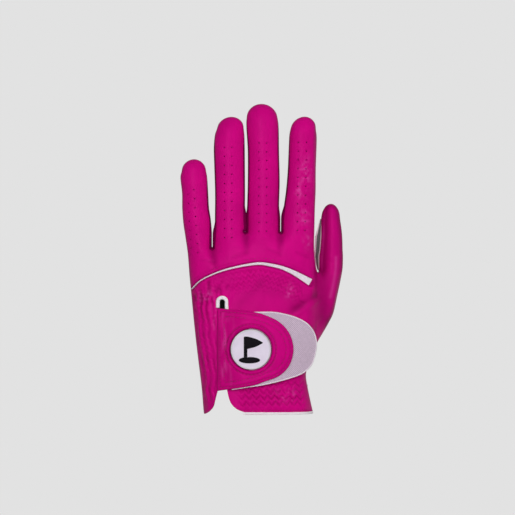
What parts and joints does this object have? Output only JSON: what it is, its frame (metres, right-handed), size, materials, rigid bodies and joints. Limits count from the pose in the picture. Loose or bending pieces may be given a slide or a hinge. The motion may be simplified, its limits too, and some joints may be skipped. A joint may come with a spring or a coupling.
{
  "type": "golf glove",
  "caption": "Left-hand leather golf glove with a wrist closure tab, magnetic ball marker, knuckle trim, gathered cuff and flexing fingers and thumb.",
  "frame": {"origin": "middle of the wrist opening, level with the cuff's lowest edge", "axes": "+Z from the wrist opening to the fingertips, -Y out of the back of the hand, +Y out of the palm, +X to the thumb side"},
  "size_m": [0.1021, 0.0362, 0.1942],
  "materials": {
    "pink_leather": "soft semi-gloss cabretta grain",
    "white_trim": "matte woven tape",
    "grey_mesh": "matte woven mesh",
    "loop_fabric": "brushed loop pile",
    "hook_plastic": "moulded hooks",
    "elastic": "ribbed elastic tape",
    "socket_plastic": "satin moulded",
    "magnet_steel": "plated",
    "white_enamel": "gloss enamel",
    "black_enamel": "gloss enamel"
  },
  "bodies": {
    "hand": {"palm_panel": "pink_leather", "palm_hem": "white_trim", "knuckle_panel": "pink_leather", "back_panel": "pink_leather", "knuckle_trim": "white_trim", "slit_binding": "white_trim", "cuff_hem": "white_trim", "loop_patch": "loop_fabric", "knuckle_elastic": "elastic", "side_elastic": "elastic", "cuff_elastic": "elastic"},
    "index_finger": {"index_back": "pink_leather", "index_palm": "pink_leather", "index_fourchette": "pink_leather"},
    "middle_finger": {"middle_back": "pink_leather", "middle_palm": "pink_leather", "middle_fourchette_left": "pink_leather", "middle_fourchette_right": "pink_leather"},
    "ring_finger": {"ring_back": "pink_leather", "ring_palm": "pink_leather", "ring_fourchette_left": "pink_leather", "ring_fourchette_right": "pink_leather"},
    "little_finger": {"little_back": "pink_leather", "little_palm": "pink_leather", "little_fourchette": "pink_leather"},
    "thumb": {"thumb_back": "pink_leather", "thumb_palm": "pink_leather", "thumb_gusset": "grey_mesh"},
    "tab": {"tab_leather": "pink_leather", "tab_backing": "grey_mesh", "hook_patch": "hook_plastic", "marker_socket": "socket_plastic", "magnet": "magnet_steel"},
    "marker": {"ball_marker": "white_enamel", "marker_emblem": "black_enamel"}
  },
  "joints": [
    {"name": "index_flex", "type": "hinge", "parent": "hand", "child": "index_finger", "pos_m": [0.0249, 0, 0.1137], "axis": [-0.9987, 0, 0.0517], "range_deg": [-8, 60]},
    {"name": "middle_flex", "type": "hinge", "parent": "hand", "child": "middle_finger", "pos_m": [0.003, 0, 0.1137], "axis": [-1, 0, -0.0056], "range_deg": [-8, 60]},
    {"name": "ring_flex", "type": "hinge", "parent": "hand", "child": "ring_finger", "pos_m": [-0.0178, 0, 0.1137], "axis": [-1, 0, -0.0031], "range_deg": [-8, 60]},
    {"name": "little_flex", "type": "hinge", "parent": "hand", "child": "little_finger", "pos_m": [-0.0384, 0, 0.1036], "axis": [-0.999, 0, -0.0441], "range_deg": [-8, 60]},
    {"name": "thumb_flex", "type": "hinge", "parent": "hand", "child": "thumb", "pos_m": [0.03735, 0.00485, 0.0657], "axis": [0.0418, 0, 0.9991], "range_deg": [0, 38]},
    {"name": "tab_open", "type": "hinge", "parent": "hand", "child": "tab", "pos_m": [-0.0258, -0.01382, 0.04], "axis": [0, 0, -1], "range_deg": [0, 150]},
    {"name": "marker_lift", "type": "slide", "parent": "tab", "child": "marker", "axis": [0, -1, 0], "range_m": [0, 0.015]}
  ]
}
